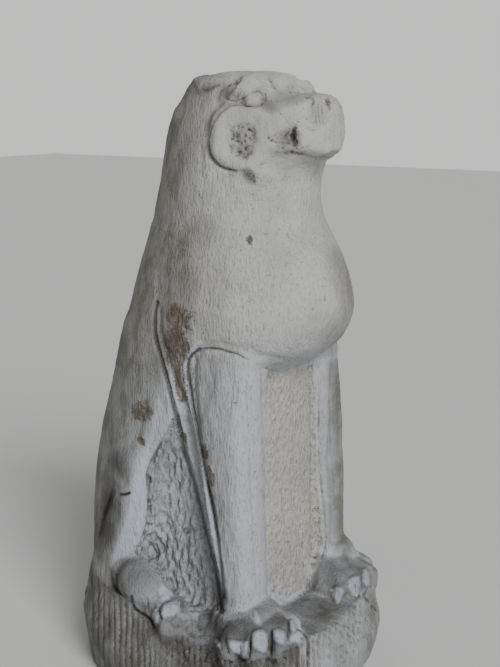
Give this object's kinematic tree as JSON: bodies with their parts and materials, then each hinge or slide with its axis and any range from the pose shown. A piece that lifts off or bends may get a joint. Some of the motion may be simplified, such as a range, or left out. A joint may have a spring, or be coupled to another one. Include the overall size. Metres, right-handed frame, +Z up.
{
  "type": "stone tiger statue",
  "caption": "Seated stone tiger with its low rounded plinth, carved to stand by its own weight as a guardian or garden figure.",
  "frame": {"origin": "centre of the plinth's underside", "axes": "+Z up, the tiger faces -Y, and its right side is at -X"},
  "size_m": [0.5044, 0.5153, 0.9964],
  "materials": {
    "stone": "matt, tooled with a point and chisel, weathered"
  },
  "bodies": {
    "root": {"stone_tiger": "stone"}
  },
  "joints": []
}
